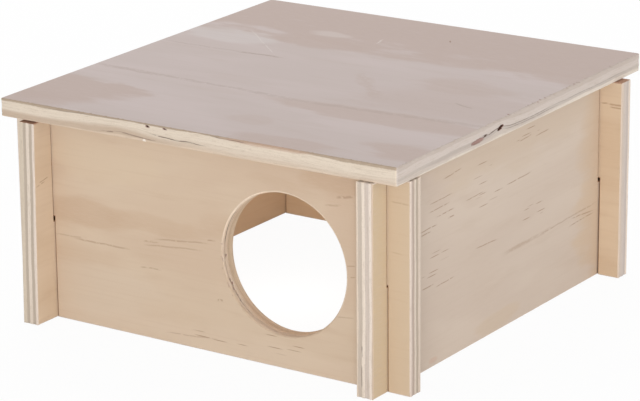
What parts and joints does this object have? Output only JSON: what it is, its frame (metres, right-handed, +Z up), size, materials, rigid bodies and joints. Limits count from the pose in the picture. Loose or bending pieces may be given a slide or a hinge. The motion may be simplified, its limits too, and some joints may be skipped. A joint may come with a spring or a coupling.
{
  "type": "hamster house",
  "caption": "Plywood house for a hamster: walls slotted together at the corners, a round entrance off to one side, open underneath, and a flat roof that lifts off.",
  "frame": {"origin": "middle of the four walls, on the surface that the house stands on; the roof lies slightly askew, so the middle of the whole object's box is about 1 mm from there", "axes": "+Z up, +Y from the entrance towards the back wall, +X to the right for someone who looks at the entrance"},
  "size_m": [0.2034, 0.2135, 0.1],
  "materials": {
    "wall_plywood": "bare sanded plywood, matt",
    "roof_plywood": "bare plywood, slightly greyer, matt",
    "lath": "bare planed softwood, matt"
  },
  "bodies": {
    "house": {"front_wall": "wall_plywood", "back_wall": "wall_plywood", "left_wall": "wall_plywood", "right_wall": "wall_plywood"},
    "lid": {"roof": "roof_plywood", "left_batten": "lath", "right_batten": "lath"}
  },
  "joints": [
    {"name": "roof_lift", "type": "slide", "parent": "house", "child": "lid", "axis": [0, 0, 1], "range_m": [0, 0.12]}
  ]
}
